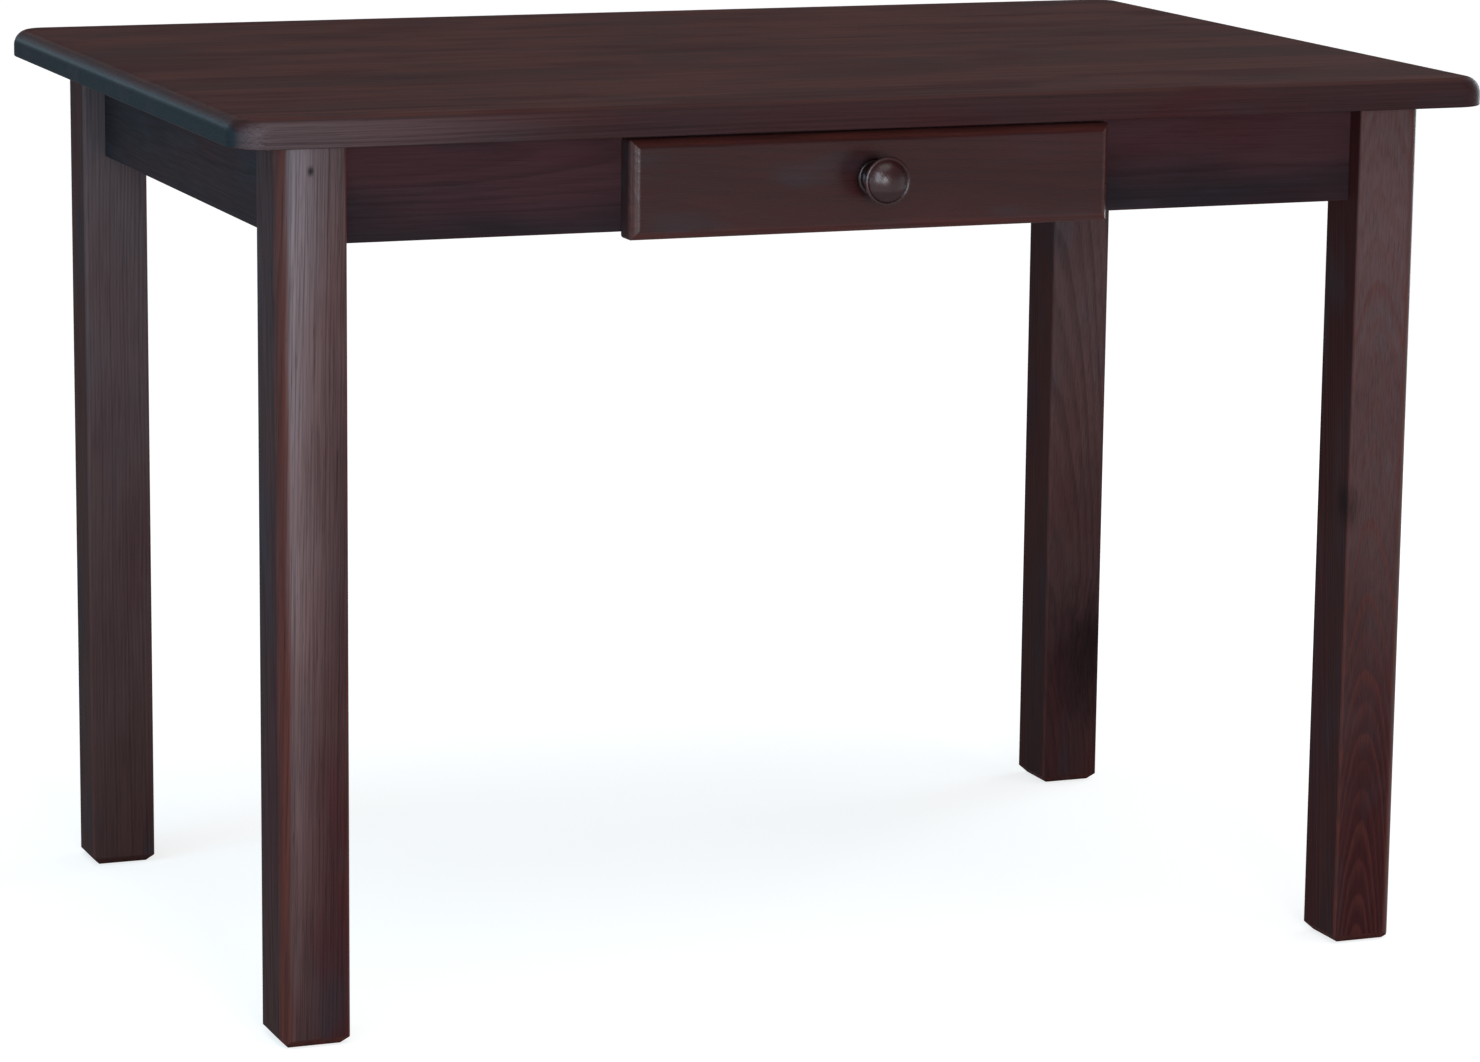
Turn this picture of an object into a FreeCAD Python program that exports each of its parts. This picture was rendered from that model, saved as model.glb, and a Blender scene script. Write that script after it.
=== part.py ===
import FreeCAD, Part
import math
import os

# A four-leg pine kitchen table with one drawer in its long front side, in millimetres.
# The origin is on the floor below the middle of the top. X runs along the table, the
# drawer opens towards -Y, and Z is up.

# Top panel
table_height = 760.0
top_length = 1100.0
top_width = 750.0
top_thickness = 24.0
top_corner_radius = 30.0
top_upper_round = 14.0
top_lower_round = 1.5

# Legs, set in from the edges of the top
end_overhang = 44.0
side_overhang = 42.0
leg_thickness = 58.0
leg_outer_round = 14.0
leg_arris_round = 3.0
foot_chamfer = 7.0

# Aprons, set back from the outer faces of the legs, with stub tenons in the legs
apron_height = 84.0
apron_thickness = 20.0
apron_setback = 20.0
apron_arris_round = 1.5
tenon_length = 18.0
tenon_thickness = 10.0
tenon_height = 56.0
mortise_end_gap = 1.0
joint_clearance = 0.1

# Corner blocks, each pulled against its leg by a hanger bolt
block_height = 58.0
block_thickness = 28.0
block_leg_gap = 4.0
bolt_radius = 4.0
bolt_depth_in_leg = 22.0
bolt_point_length = 6.0
bolt_stickout = 5.0
bolt_hole_clearance = 0.5
washer_radius = 9.0
washer_thickness = 1.6
nut_across_flats = 13.0
nut_height = 6.5

# Wood screws
screw_radius = 2.0
screw_head_radius = 4.0
screw_point_length = 4.0
block_screw_grip = 12.0
block_screw_bite = 14.0
block_screw_spacing = 30.0
top_screw_bite = 14.0

# Wooden buttons that hold the top, with a tongue in a slot of the apron
button_width = 32.0
button_length = 38.0
button_thickness = 18.0
button_tongue_length = 8.0
button_tongue_thickness = 8.0
button_slot_play = 4.0
button_slot_clearance = 0.4
button_block_gap = 30.0

# Drawer window in the front apron
window_sill = 15.0
window_head = 15.0

# Drawer front, an overlay board with a moulded edge
drawer_front_width = 424.0
drawer_front_thickness = 22.0
drawer_front_overlap = 18.0
drawer_front_drop = 5.0
drawer_front_top_gap = 7.0
drawer_front_gap = 0.5
drawer_front_corner = 3.0
moulding_width = 8.5
moulding_depth = 6.5

# Drawer box
drawer_depth = 430.0
drawer_board_thickness = 12.0
drawer_side_gap = 1.0
drawer_under_gap = 0.4
drawer_over_gap = 2.6
drawer_housing_depth = 8.0
drawer_back_housing = 4.0
drawer_back_inset = 10.0
drawer_bottom_thickness = 4.0
drawer_bottom_height = 6.0
drawer_groove_depth = 5.0
drawer_arris_round = 1.5
bottom_screw_radius = 1.5
bottom_screw_head_radius = 3.0
bottom_screw_point_length = 3.0
bottom_screw_bite = 12.0
bottom_screw_count = 3

# Runners under the drawer sides and kickers above them
runner_wall = 16.0
runner_ledge = 15.0
runner_base = 14.0
runner_guide_height = 40.0
dowel_radius = 4.0
dowel_depth_in_apron = 12.0
dowel_depth_in_runner = 16.0
dowel_end_gap = 1.0
kicker_screw_count = 3
kicker_screw_end_distance = 90.0

# Turned knob
knob_radius = 20.0
knob_projection = 37.0
knob_above_middle = 3.5
knob_base_radius = 13.5
knob_base_height = 4.0
knob_base_step = 1.5
knob_neck_radius = 9.0
knob_neck_height = 12.0
knob_flare_radius = 14.0
knob_flare_height = 21.0
knob_flare_bulge = 0.8
knob_bead_bottom = 26.0
knob_bead_height = 3.4
knob_groove_width = 1.2
knob_groove_depth = 0.9
knob_screw_radius = 2.0
knob_screw_head_radius = 4.5
knob_screw_head_height = 2.6
knob_screw_bite = 14.0
knob_bore_end_gap = 1.0

# Places that follow from the sizes above
diagonal = math.sqrt(2)
top_underside = table_height - top_thickness
half_length = top_length / 2 - end_overhang
half_width = top_width / 2 - side_overhang
apron_bottom = top_underside - apron_height
apron_middle = top_underside - apron_height / 2
apron_inner_offset = apron_setback + apron_thickness
inner_half_length = half_length - apron_inner_offset
inner_half_width = half_width - apron_inner_offset
block_near = 2 * leg_thickness + block_leg_gap * diagonal
block_far = block_near + block_thickness * diagonal
block_foot_end = block_far - apron_inner_offset
button_from_corner = block_foot_end + button_block_gap + button_width / 2
window_half_width = drawer_front_width / 2 - drawer_front_overlap
window_bottom = apron_bottom + window_sill
window_top = top_underside - window_head
drawer_face_back = -half_width + apron_setback - drawer_front_gap
drawer_face = drawer_face_back - drawer_front_thickness
drawer_front_bottom = apron_bottom - drawer_front_drop
drawer_front_top = top_underside - drawer_front_top_gap
drawer_middle = (drawer_front_bottom + drawer_front_top) / 2
knob_height = drawer_middle + knob_above_middle
drawer_half_width = window_half_width - drawer_side_gap
drawer_inner_half = drawer_half_width - drawer_board_thickness
drawer_side_bottom = window_bottom + drawer_under_gap
drawer_side_top = window_top - drawer_over_gap
drawer_end = drawer_face_back + drawer_depth
drawer_back_rear = drawer_end - drawer_back_inset
drawer_floor_bottom = drawer_side_bottom + drawer_bottom_height
drawer_floor_top = drawer_floor_bottom + drawer_bottom_thickness

UP = FreeCAD.Vector(0, 0, 1)
RIGHT = FreeCAD.Vector(1, 0, 0)
LEFT = FreeCAD.Vector(-1, 0, 0)
BACK = FreeCAD.Vector(0, 1, 0)
FRONT = FreeCAD.Vector(0, -1, 0)
ORIGIN = FreeCAD.Vector(0, 0, 0)


def block_between(low, high):
    """A box from its lowest corner to its highest."""
    size = FreeCAD.Vector(*high) - FreeCAD.Vector(*low)
    return Part.makeBox(size.x, size.y, size.z, FreeCAD.Vector(*low))


def outline(spans):
    """A face from spans in order: two points make a line, three points make an arc."""
    edges = []
    for span in spans:
        points = [FreeCAD.Vector(*point) for point in span]
        curve = Part.LineSegment(*points) if len(points) == 2 else Part.Arc(*points)
        edges.append(curve.toShape())
    return Part.Face(Part.Wire(edges))


def polygon(points):
    """A face from its corners."""
    corners = [FreeCAD.Vector(*point) for point in points]
    return Part.Face(Part.makePolygon(corners + corners[:1]))


def turned(spans, base, direction):
    """A solid turned from a radius and height profile, standing at base along direction."""
    profile = outline([[(radius, 0, height) for radius, height in span] for span in spans])
    solid = profile.revolve(ORIGIN, UP, 360)
    solid.Placement = FreeCAD.Placement(base, FreeCAD.Rotation(UP, direction))
    return solid


def turned_polygon(points, base, direction):
    """A turned solid whose profile has straight sides only."""
    closed = points + points[:1]
    return turned(list(zip(closed, closed[1:])), base, direction)


def rod(radius, length, base, direction):
    """A plain round rod."""
    return Part.makeCylinder(radius, length, base, direction)


def upright_edges(solid, x_sign=None, y_sign=None):
    """The vertical edges of a box-like solid, or only the one on the given sides."""
    middle = solid.BoundBox.Center
    found = []
    for edge in solid.Edges:
        start, end = (vertex.Point for vertex in edge.Vertexes)
        on_x = x_sign is None or (start.x - middle.x) * x_sign > 0
        on_y = y_sign is None or (start.y - middle.y) * y_sign > 0
        if abs((end - start).normalize().z) > 0.999 and on_x and on_y:
            found.append(edge)
    return found


def edges_at_height(solid, height):
    """The edges that lie flat at one height."""
    flat = []
    for edge in solid.Edges:
        box = edge.BoundBox
        if abs(box.ZMin - height) < 1e-3 and abs(box.ZMax - height) < 1e-3:
            flat.append(edge)
    return flat


def mirrored_x(shape):
    return shape.mirror(ORIGIN, RIGHT)


def mirrored_y(shape):
    return shape.mirror(ORIGIN, BACK)


def four_ways(shapes):
    """The shapes of the front left quarter, repeated in all four quarters."""
    front = shapes + [mirrored_x(shape) for shape in shapes]
    return front + [mirrored_y(shape) for shape in front]


def countersunk_screw(grip, bite, base, direction):
    """A wood screw whose head is flush at base and whose point goes grip and bite deep."""
    length = grip + bite
    cone = screw_head_radius - screw_radius
    profile = [
        (0, 0),
        (screw_head_radius, 0),
        (screw_radius, cone),
        (screw_radius, length - screw_point_length),
        (0, length),
    ]
    return turned_polygon(profile, base, direction)


def screw_hole(grip, bite, base, direction, recess):
    """The hole for such a screw, with an open recess above its head."""
    length = grip + bite + joint_clearance
    head = screw_head_radius + joint_clearance
    shank = screw_radius + joint_clearance
    profile = [
        (0, -recess),
        (head, -recess),
        (head, 0),
        (shank, head - shank),
        (shank, length - screw_point_length),
        (0, length),
    ]
    return turned_polygon(profile, base, direction)


def stadium_bar(length, width, height, base):
    """A bar along X whose section is round at its top and bottom, as a routed mortise is."""
    radius = width / 2
    straight = height / 2 - radius
    section = outline([
        [(0, -radius, -straight), (0, 0, -straight - radius), (0, radius, -straight)],
        [(0, radius, -straight), (0, radius, straight)],
        [(0, radius, straight), (0, 0, straight + radius), (0, -radius, straight)],
        [(0, -radius, straight), (0, -radius, -straight)],
    ])
    section.translate(base)
    return section.extrude(RIGHT * length)


# Top panel
def make_top():
    low = (-top_length / 2, -top_width / 2, top_underside)
    high = (top_length / 2, top_width / 2, table_height)
    panel = block_between(low, high)
    panel = panel.makeFillet(top_corner_radius, upright_edges(panel))
    panel = panel.makeFillet(top_upper_round, edges_at_height(panel, table_height))
    return panel.makeFillet(top_lower_round, edges_at_height(panel, top_underside))


# Legs
def chamfered_elevation(start):
    """A leg's outline from the side, with both corners of the foot cut off."""
    end = start + leg_thickness
    return [
        (start + foot_chamfer, 0),
        (end - foot_chamfer, 0),
        (end, foot_chamfer),
        (end, top_underside),
        (start, top_underside),
        (start, foot_chamfer),
    ]


def make_front_left_leg():
    """The leg where its plan and its two chamfered elevations meet."""
    low = (-half_length, -half_width, 0)
    high = (-half_length + leg_thickness, -half_width + leg_thickness, top_underside)
    post = block_between(low, high)
    inner = upright_edges(post, 1, 1) + upright_edges(post, 1, -1) + upright_edges(post, -1, 1)
    post = post.makeFillet(leg_arris_round, inner)
    post = post.makeFillet(leg_outer_round, upright_edges(post, -1, -1))
    seen_from_front = polygon([(x, low[1], z) for x, z in chamfered_elevation(low[0])])
    seen_from_side = polygon([(low[0], y, z) for y, z in chamfered_elevation(low[1])])
    post = post.common(seen_from_front.extrude(BACK * leg_thickness))
    return post.common(seen_from_side.extrude(RIGHT * leg_thickness))


# Aprons
def tenon_at(x_start, outer_y, grow, length):
    """A stub tenon along X, or with grow the mortise that takes it."""
    middle_y = outer_y + apron_thickness / 2
    base = FreeCAD.Vector(x_start, middle_y, apron_middle)
    return stadium_bar(length, tenon_thickness + 2 * grow, tenon_height + 2 * grow, base)


def apron_along_x(half_span, outer_y):
    """A board between two legs, with eased lower edges and a tenon at each end."""
    low = (-half_span, outer_y, apron_bottom)
    high = (half_span, outer_y + apron_thickness, top_underside)
    board = block_between(low, high)
    long_edges = [edge for edge in edges_at_height(board, apron_bottom) if edge.Length > half_span]
    board = board.makeFillet(apron_arris_round, long_edges)
    tenons = [tenon_at(-half_span - tenon_length, outer_y, 0, tenon_length)]
    tenons.append(tenon_at(half_span, outer_y, 0, tenon_length))
    return board.fuse(tenons).removeSplitter()


def mortise_along_x(half_span, outer_y):
    """The mortise in the left leg of such an apron."""
    depth = tenon_length + mortise_end_gap
    return tenon_at(-half_span - depth, outer_y, joint_clearance, depth)


def quarter_turn(shape):
    """Turns a shape that was built along X so that its outer face looks left."""
    turned_shape = shape.copy()
    turned_shape.rotate(ORIGIN, UP, -90)
    return turned_shape


# Hardware of the front left corner
def corner_place(along_x, along_y, height):
    """A point measured from the outer corner of the front left leg."""
    return FreeCAD.Vector(-half_length + along_x, -half_width + along_y, height)


def make_corner_block():
    """A brace between two aprons, with its ends mitred to sit flat on them."""
    foot_start = block_near - apron_inner_offset
    bottom = apron_middle - block_height / 2
    corners = [
        corner_place(apron_inner_offset, foot_start, bottom),
        corner_place(foot_start, apron_inner_offset, bottom),
        corner_place(block_foot_end, apron_inner_offset, bottom),
        corner_place(apron_inner_offset, block_foot_end, bottom),
    ]
    return polygon(corners).extrude(UP * block_height)


def block_screw_places():
    """Where the screws of one corner block start, and the way each one goes."""
    along = (block_near + block_far) / 2 - apron_inner_offset
    head = apron_inner_offset + block_screw_grip
    places = []
    for side in (-1, 1):
        height = apron_middle + side * block_screw_spacing / 2
        places.append((corner_place(along, head, height), FRONT))
        places.append((corner_place(head, along, height), LEFT))
    return places


inward = FreeCAD.Vector(1, 1, 0).normalize()
leg_inner_corner = corner_place(leg_thickness, leg_thickness, apron_middle)
bolt_start = leg_inner_corner - inward * bolt_depth_in_leg
block_outer_face = leg_inner_corner + inward * (block_leg_gap + block_thickness)
nut_start = block_outer_face + inward * washer_thickness


def make_bolt():
    """A hanger bolt: a pointed wood end in the leg and a plain end for the nut."""
    through_block = block_leg_gap + block_thickness
    length = bolt_depth_in_leg + through_block + washer_thickness + nut_height + bolt_stickout
    profile = [(0, 0), (bolt_radius, bolt_point_length), (bolt_radius, length), (0, length)]
    return turned_polygon(profile, bolt_start, inward)


def make_washer():
    disc = rod(washer_radius, washer_thickness, block_outer_face, inward)
    hole = rod(bolt_radius + bolt_hole_clearance, washer_thickness, block_outer_face, inward)
    return disc.cut(hole)


def make_nut():
    corner_radius = nut_across_flats / math.sqrt(3)
    corners = []
    for step in range(6):
        angle = math.radians(60 * step)
        corners.append((corner_radius * math.cos(angle), corner_radius * math.sin(angle), 0))
    nut = polygon(corners).extrude(UP * nut_height)
    nut.Placement = FreeCAD.Placement(nut_start, FreeCAD.Rotation(UP, inward))
    return nut.cut(rod(bolt_radius + joint_clearance, nut_height, nut_start, inward))


def make_bolt_hole_in_leg():
    start = bolt_start - inward * joint_clearance
    depth = bolt_depth_in_leg + leg_arris_round
    return rod(bolt_radius + joint_clearance, depth, start, inward)


def make_bolt_hole_in_block():
    depth = block_leg_gap + block_thickness
    return rod(bolt_radius + bolt_hole_clearance, depth, leg_inner_corner, inward)


# Buttons that hold the top
def make_button(centre_x, apron_face_y):
    """A button on the front apron's inner face, with its tongue in the apron."""
    start_x = centre_x - button_width / 2
    bottom = top_underside - button_thickness
    tongue_top = bottom + button_tongue_thickness
    tongue_end = apron_face_y - button_tongue_length
    shoulder = apron_face_y + joint_clearance
    far_end = apron_face_y + button_length
    profile = polygon([
        (start_x, tongue_end, bottom),
        (start_x, far_end, bottom),
        (start_x, far_end, top_underside),
        (start_x, shoulder, top_underside),
        (start_x, shoulder, tongue_top),
        (start_x, tongue_end, tongue_top),
    ])
    return profile.extrude(RIGHT * button_width)


def make_button_slot(centre_x, apron_face_y):
    """The slot that takes the tongue, longer than the button so that the top can move."""
    reach = button_width / 2 + button_slot_play
    bottom = top_underside - button_thickness - button_slot_clearance
    top = bottom + button_tongue_thickness + 2 * button_slot_clearance
    depth = button_tongue_length + mortise_end_gap
    low = (centre_x - reach, apron_face_y - depth, bottom)
    return block_between(low, (centre_x + reach, apron_face_y, top))


def button_screw_start(centre_x, apron_face_y):
    bottom = top_underside - button_thickness
    return FreeCAD.Vector(centre_x, apron_face_y + button_length / 2, bottom)


# Drawer runners and kickers, made for the left side
def runner_dowel_places():
    """The ends of the left runner where a dowel crosses into an apron."""
    x = -window_half_width - runner_wall / 2
    places = []
    for height in (window_bottom - runner_base / 2, window_bottom + runner_guide_height / 2):
        places.append((FreeCAD.Vector(x, -inner_half_width, height), BACK))
        places.append((FreeCAD.Vector(x, inner_half_width, height), FRONT))
    return places


def make_dowel(place, into_runner, grow=0.0, end_gap=0.0):
    start = place - into_runner * (dowel_depth_in_apron + end_gap)
    length = dowel_depth_in_apron + dowel_depth_in_runner + 2 * end_gap
    return rod(dowel_radius + grow, length, start, into_runner)


def make_left_runner():
    """An L-shaped rail: the ledge carries the drawer side and the wall guides it."""
    inner = -window_half_width
    outer = inner - runner_wall
    base = window_bottom - runner_base
    profile = polygon([
        (outer, -inner_half_width, base),
        (inner + runner_ledge, -inner_half_width, base),
        (inner + runner_ledge, -inner_half_width, window_bottom),
        (inner, -inner_half_width, window_bottom),
        (inner, -inner_half_width, window_bottom + runner_guide_height),
        (outer, -inner_half_width, window_bottom + runner_guide_height),
    ])
    return profile.extrude(BACK * 2 * inner_half_width)


def make_left_kicker():
    """A strip under the top that stops the drawer side from rising."""
    low = (-window_half_width - runner_wall, -inner_half_width, window_top)
    high = (-window_half_width + runner_ledge, inner_half_width, top_underside)
    return block_between(low, high)


def kicker_screw_starts():
    x = -window_half_width + (runner_ledge - runner_wall) / 2
    first = -inner_half_width + kicker_screw_end_distance
    step = -2 * first / (kicker_screw_count - 1)
    return [FreeCAD.Vector(x, first + step * index, window_top) for index in range(kicker_screw_count)]


# Drawer
def moulded_section(half_size):
    """Half sizes and depths of a board with an ovolo round its face, as spans."""
    field = half_size - moulding_width
    ovolo_back = drawer_face + moulding_depth
    chord = math.hypot(moulding_width, moulding_depth)
    middle = field + chord / 2
    middle_depth = drawer_face + chord * (chord - moulding_width) / (2 * moulding_depth)
    return [
        [(-half_size, drawer_face_back), (half_size, drawer_face_back)],
        [(half_size, drawer_face_back), (half_size, ovolo_back)],
        [(half_size, ovolo_back), (middle, middle_depth), (field, drawer_face)],
        [(field, drawer_face), (-field, drawer_face)],
        [(-field, drawer_face), (-middle, middle_depth), (-half_size, ovolo_back)],
        [(-half_size, ovolo_back), (-half_size, drawer_face_back)],
    ]


def make_drawer_board():
    """The drawer front: where its moulded plan and its moulded side view meet, mitred."""
    half_height = (drawer_front_top - drawer_front_bottom) / 2
    half_span = drawer_front_width / 2
    plan_spans = moulded_section(half_span)
    plan = outline([[(x, y, drawer_front_bottom) for x, y in span] for span in plan_spans])
    side_spans = moulded_section(half_height)
    side = outline([[(-half_span, y, drawer_middle + z) for z, y in span] for span in side_spans])
    board = plan.extrude(UP * 2 * half_height).common(side.extrude(RIGHT * 2 * half_span))
    low = (-half_span, drawer_face, drawer_front_bottom)
    blank = block_between(low, (half_span, drawer_face_back, drawer_front_top))
    corners = [edge for edge in blank.Edges if edge.BoundBox.YLength > drawer_front_thickness / 2]
    return board.common(blank.makeFillet(drawer_front_corner, corners))


def make_left_side():
    """A side board whose upper edges are eased."""
    low = (-drawer_half_width, drawer_face_back - drawer_housing_depth, drawer_side_bottom)
    board = block_between(low, (-drawer_inner_half, drawer_end, drawer_side_top))
    upper = edges_at_height(board, drawer_side_top)
    long_edges = [edge for edge in upper if edge.BoundBox.YLength > drawer_board_thickness]
    return board.makeFillet(drawer_arris_round, long_edges)


def make_side_housing():
    """The housing in the drawer front for the end of the left side."""
    grow = joint_clearance
    depth = drawer_housing_depth + grow
    low = (-drawer_half_width - grow, drawer_face_back - depth, drawer_side_bottom - grow)
    return block_between(low, (-drawer_inner_half + grow, drawer_face_back, drawer_side_top + grow))


def make_drawer_back(grow=0.0):
    """The back between the sides, or with grow the housings that take its ends."""
    reach = drawer_inner_half + drawer_back_housing + grow
    front = drawer_back_rear - drawer_board_thickness - grow
    bottom = drawer_floor_top + joint_clearance - grow
    low = (-reach, front, bottom)
    return block_between(low, (reach, drawer_back_rear + grow, drawer_side_top + grow))


def make_drawer_floor(rear, grow=0.0):
    """The bottom panel up to its rear edge, or with grow the groove that it slides into."""
    reach = drawer_inner_half + drawer_groove_depth + grow
    front = drawer_face_back - drawer_groove_depth - grow
    low = (-reach, front, drawer_floor_bottom - grow)
    return block_between(low, (reach, rear, drawer_floor_top + grow))


def bottom_screw_starts():
    y = drawer_back_rear - drawer_board_thickness / 2
    spacing = 2 * drawer_inner_half / (bottom_screw_count + 1)
    starts = []
    for index in range(bottom_screw_count):
        x = -drawer_inner_half + spacing * (index + 1)
        starts.append(FreeCAD.Vector(x, y, drawer_floor_bottom))
    return starts


def bottom_screw(start, grow=0.0):
    """A small screw through the bottom panel into the drawer back."""
    length = drawer_bottom_thickness + bottom_screw_bite + grow
    head = bottom_screw_head_radius + grow
    shank = bottom_screw_radius + grow
    profile = [(0, 0), (head, 0), (shank, head - shank)]
    profile += [(shank, length - bottom_screw_point_length), (0, length)]
    return turned_polygon(profile, start, UP)


knob_seat = FreeCAD.Vector(0, drawer_face, knob_height)


def make_knob():
    """A turned knob: a base ring, a cove, a flared head, a rim bead and a dome."""
    bead_radius = knob_radius - knob_bead_height / 2
    bead_top = knob_bead_bottom + knob_bead_height
    bead_middle = knob_bead_bottom + knob_bead_height / 2
    dome_radius = bead_radius - knob_groove_width
    dome_start = bead_top - knob_groove_depth
    rise = knob_projection - dome_start
    sphere = (dome_radius ** 2 + rise ** 2) / (2 * rise)
    half_angle = math.asin(dome_radius / sphere) / 2
    dome_middle = (sphere * math.sin(half_angle), knob_projection - sphere * (1 - math.cos(half_angle)))
    cove_start = (knob_base_radius - knob_base_step, knob_base_height)
    flare = (knob_flare_radius, knob_flare_height)
    under_rim = (bead_radius, knob_bead_bottom)
    flare_middle_radius = (knob_flare_radius + bead_radius) / 2 + knob_flare_bulge
    flare_middle_height = (knob_flare_height + knob_bead_bottom) / 2 - knob_flare_bulge
    base_bulge = (knob_base_radius + knob_base_height / 2, knob_base_height / 2)
    spans = [
        [(0, 0), (knob_base_radius, 0)],
        [(knob_base_radius, 0), base_bulge, (knob_base_radius, knob_base_height)],
        [(knob_base_radius, knob_base_height), cove_start],
        [cove_start, (knob_neck_radius, knob_neck_height), flare],
        [flare, (flare_middle_radius, flare_middle_height), under_rim],
        [under_rim, (knob_radius, bead_middle), (bead_radius, bead_top)],
        [(bead_radius, bead_top), (dome_radius, dome_start)],
        [(dome_radius, dome_start), dome_middle, (0, knob_projection)],
        [(0, knob_projection), (0, 0)],
    ]
    knob = turned(spans, knob_seat, FRONT)
    bore_depth = knob_screw_bite + knob_bore_end_gap
    return knob.cut(rod(knob_screw_radius + joint_clearance, bore_depth, knob_seat, FRONT))


def make_knob_screw():
    """A machine screw with its head on the inner face of the drawer front."""
    length = drawer_front_thickness + knob_screw_bite
    head_start = FreeCAD.Vector(0, drawer_face_back + knob_screw_head_height, knob_height)
    total = knob_screw_head_height + length
    profile = [
        (0, 0),
        (knob_screw_head_radius, 0),
        (knob_screw_head_radius, knob_screw_head_height),
        (knob_screw_radius, knob_screw_head_height),
        (knob_screw_radius, total),
        (0, total),
    ]
    return turned_polygon(profile, head_start, FRONT)


# Fasteners and the holes they need, worked out for the front left quarter and repeated
block_screws = []
block_screw_holes = []
for place, way in block_screw_places():
    block_screws.append(countersunk_screw(block_screw_grip, block_screw_bite, place, way))
    block_screw_holes.append(screw_hole(block_screw_grip, block_screw_bite, place, way, block_thickness))
block_screws = four_ways(block_screws)
block_screw_holes = four_ways(block_screw_holes)

front_inner_face = -inner_half_width
side_inner_face = -inner_half_length
front_button_x = -half_length + button_from_corner
side_button_x = half_width - button_from_corner
button_places = [(front_button_x, front_inner_face, False), (side_button_x, side_inner_face, True)]
buttons = []
button_slots = []
button_screws = []
button_screw_holes = []
for centre, face, on_side in button_places:
    start = button_screw_start(centre, face)
    made = [
        make_button(centre, face),
        make_button_slot(centre, face),
        countersunk_screw(button_thickness, top_screw_bite, start, UP),
        screw_hole(button_thickness, top_screw_bite, start, UP, joint_clearance),
    ]
    if on_side:
        made = [quarter_turn(shape) for shape in made]
    buttons.append(made[0])
    button_slots.append(made[1])
    button_screws.append(made[2])
    button_screw_holes.append(made[3])
buttons = four_ways(buttons)
button_slots = four_ways(button_slots)
button_screws = four_ways(button_screws)
button_screw_holes = four_ways(button_screw_holes)
buttons = [button.cut(button_screw_holes) for button in buttons]

kicker_screws = []
kicker_screw_holes = []
for start in kicker_screw_starts():
    kicker_screws.append(countersunk_screw(window_head, top_screw_bite, start, UP))
    kicker_screw_holes.append(screw_hole(window_head, top_screw_bite, start, UP, joint_clearance))
kicker_screws += [mirrored_x(screw) for screw in kicker_screws]
kicker_screw_holes += [mirrored_x(hole) for hole in kicker_screw_holes]

runner_dowels = []
dowel_holes = []
for place, way in runner_dowel_places():
    runner_dowels.append(make_dowel(place, way))
    dowel_holes.append(make_dowel(place, way, joint_clearance, dowel_end_gap))
runner_dowels += [mirrored_x(dowel) for dowel in runner_dowels]
dowel_holes += [mirrored_x(hole) for hole in dowel_holes]

bottom_screws = [bottom_screw(start) for start in bottom_screw_starts()]
bottom_screw_holes = [bottom_screw(start, joint_clearance) for start in bottom_screw_starts()]

# Pieces of the frame
span_x = half_length - leg_thickness
span_y = half_width - leg_thickness
front_outer_y = -half_width + apron_setback
side_outer_y = -half_length + apron_setback
apron_cuts = block_screw_holes + button_slots + dowel_holes
window = block_between(
    (-window_half_width, front_outer_y, window_bottom),
    (window_half_width, front_outer_y + apron_thickness, window_top),
)
long_apron = apron_along_x(span_x, front_outer_y)
short_apron = quarter_turn(apron_along_x(span_y, side_outer_y))
mortises = [mortise_along_x(span_x, front_outer_y)]
mortises.append(mirrored_y(quarter_turn(mortise_along_x(span_y, side_outer_y))))
leg = make_front_left_leg().cut(mortises + [make_bolt_hole_in_leg()])
corner_block = make_corner_block().cut(block_screw_holes + [make_bolt_hole_in_block()])
runner = make_left_runner().cut(dowel_holes)
kicker = make_left_kicker().cut(kicker_screw_holes)

# Pieces of the drawer
side_housing = make_side_housing()
floor_groove = make_drawer_floor(drawer_end, joint_clearance)
knob_screw_hole = rod(
    knob_screw_radius + joint_clearance,
    drawer_front_thickness,
    FreeCAD.Vector(0, drawer_face_back, knob_height),
    FRONT,
)
drawer_front_cuts = [side_housing, mirrored_x(side_housing), floor_groove, knob_screw_hole]
drawer_side = make_left_side().cut([floor_groove, make_drawer_back(joint_clearance)])

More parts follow.
